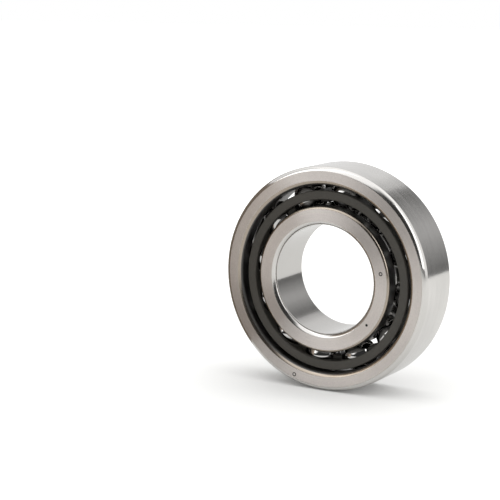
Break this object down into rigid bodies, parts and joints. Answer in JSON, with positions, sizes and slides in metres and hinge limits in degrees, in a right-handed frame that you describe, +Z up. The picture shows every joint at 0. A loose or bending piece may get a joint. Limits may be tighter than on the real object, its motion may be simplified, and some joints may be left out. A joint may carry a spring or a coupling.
{
  "type": "angular contact bearing",
  "caption": "Single-row angular contact ball bearing: two ground steel rings, polished balls and a dark one-piece moulded cage between them.",
  "frame": {"origin": "centre of the bore, at the middle of the rings' width", "axes": "+Y along the bearing's axis, away from the outer ring's full shoulder (its thrust side) and out of its relieved side; +Z up, so that the bearing stands on its rim; +X to the right"},
  "size_m": [0.062, 0.016, 0.062],
  "materials": {
    "ring_steel": "fine ground, with polished raceways",
    "ball_steel": "lapped mirror polish",
    "cage_polyamide": "matt moulded, glass-fibre filled"
  },
  "bodies": {
    "outer_ring": {"outer_ring": "ring_steel"},
    "inner_ring": {"inner_ring": "ring_steel"},
    "cage": {"cage": "cage_polyamide"},
    "ball_01": {"ball_01": "ball_steel"},
    "ball_02": {"ball_02": "ball_steel"},
    "ball_03": {"ball_03": "ball_steel"},
    "ball_04": {"ball_04": "ball_steel"},
    "ball_05": {"ball_05": "ball_steel"},
    "ball_06": {"ball_06": "ball_steel"},
    "ball_07": {"ball_07": "ball_steel"},
    "ball_08": {"ball_08": "ball_steel"},
    "ball_09": {"ball_09": "ball_steel"},
    "ball_10": {"ball_10": "ball_steel"},
    "ball_11": {"ball_11": "ball_steel"},
    "ball_12": {"ball_12": "ball_steel"}
  },
  "joints": [
    {"name": "inner_ring_spin", "type": "hinge", "parent": "outer_ring", "child": "inner_ring", "pos_m": [0, 0, 0], "axis": [0, 1, 0], "continuous": true},
    {"name": "cage_orbit", "type": "hinge", "parent": "outer_ring", "child": "cage", "pos_m": [0, 0, 0], "axis": [0, 1, 0], "continuous": true},
    {"name": "ball_01_roll", "type": "hinge", "parent": "cage", "child": "ball_01", "pos_m": [0.02269, 0, -0.0038], "axis": [0.2553, 0.9659, -0.0427], "continuous": true},
    {"name": "ball_02_roll", "type": "hinge", "parent": "cage", "child": "ball_02", "pos_m": [0.02154, 0, 0.00805], "axis": [0.2424, 0.9659, 0.0906], "continuous": true},
    {"name": "ball_03_roll", "type": "hinge", "parent": "cage", "child": "ball_03", "pos_m": [0.01463, 0, 0.01775], "axis": [0.1646, 0.9659, 0.1997], "continuous": true},
    {"name": "ball_04_roll", "type": "hinge", "parent": "cage", "child": "ball_04", "pos_m": [0.0038, 0, 0.02269], "axis": [0.0427, 0.9659, 0.2553], "continuous": true},
    {"name": "ball_05_roll", "type": "hinge", "parent": "cage", "child": "ball_05", "pos_m": [-0.00805, 0, 0.02154], "axis": [-0.0906, 0.9659, 0.2424], "continuous": true},
    {"name": "ball_06_roll", "type": "hinge", "parent": "cage", "child": "ball_06", "pos_m": [-0.01775, 0, 0.01463], "axis": [-0.1997, 0.9659, 0.1646], "continuous": true},
    {"name": "ball_07_roll", "type": "hinge", "parent": "cage", "child": "ball_07", "pos_m": [-0.02269, 0, 0.0038], "axis": [-0.2553, 0.9659, 0.0427], "continuous": true},
    {"name": "ball_08_roll", "type": "hinge", "parent": "cage", "child": "ball_08", "pos_m": [-0.02154, 0, -0.00805], "axis": [-0.2424, 0.9659, -0.0906], "continuous": true},
    {"name": "ball_09_roll", "type": "hinge", "parent": "cage", "child": "ball_09", "pos_m": [-0.01463, 0, -0.01775], "axis": [-0.1646, 0.9659, -0.1997], "continuous": true},
    {"name": "ball_10_roll", "type": "hinge", "parent": "cage", "child": "ball_10", "pos_m": [-0.0038, 0, -0.02269], "axis": [-0.0427, 0.9659, -0.2553], "continuous": true},
    {"name": "ball_11_roll", "type": "hinge", "parent": "cage", "child": "ball_11", "pos_m": [0.00805, 0, -0.02154], "axis": [0.0906, 0.9659, -0.2424], "continuous": true},
    {"name": "ball_12_roll", "type": "hinge", "parent": "cage", "child": "ball_12", "pos_m": [0.01775, 0, -0.01463], "axis": [0.1997, 0.9659, -0.1646], "continuous": true}
  ],
  "couplings": [
    {"joint": "cage_orbit", "follows": "inner_ring_spin", "ratio": 0.4},
    {"joint": "ball_01_roll", "follows": "inner_ring_spin", "ratio": -2.3181},
    {"joint": "ball_02_roll", "follows": "inner_ring_spin", "ratio": -2.3181},
    {"joint": "ball_03_roll", "follows": "inner_ring_spin", "ratio": -2.3181},
    {"joint": "ball_04_roll", "follows": "inner_ring_spin", "ratio": -2.3181},
    {"joint": "ball_05_roll", "follows": "inner_ring_spin", "ratio": -2.3181},
    {"joint": "ball_06_roll", "follows": "inner_ring_spin", "ratio": -2.3181},
    {"joint": "ball_07_roll", "follows": "inner_ring_spin", "ratio": -2.3181},
    {"joint": "ball_08_roll", "follows": "inner_ring_spin", "ratio": -2.3181},
    {"joint": "ball_09_roll", "follows": "inner_ring_spin", "ratio": -2.3181},
    {"joint": "ball_10_roll", "follows": "inner_ring_spin", "ratio": -2.3181},
    {"joint": "ball_11_roll", "follows": "inner_ring_spin", "ratio": -2.3181},
    {"joint": "ball_12_roll", "follows": "inner_ring_spin", "ratio": -2.3181}
  ]
}
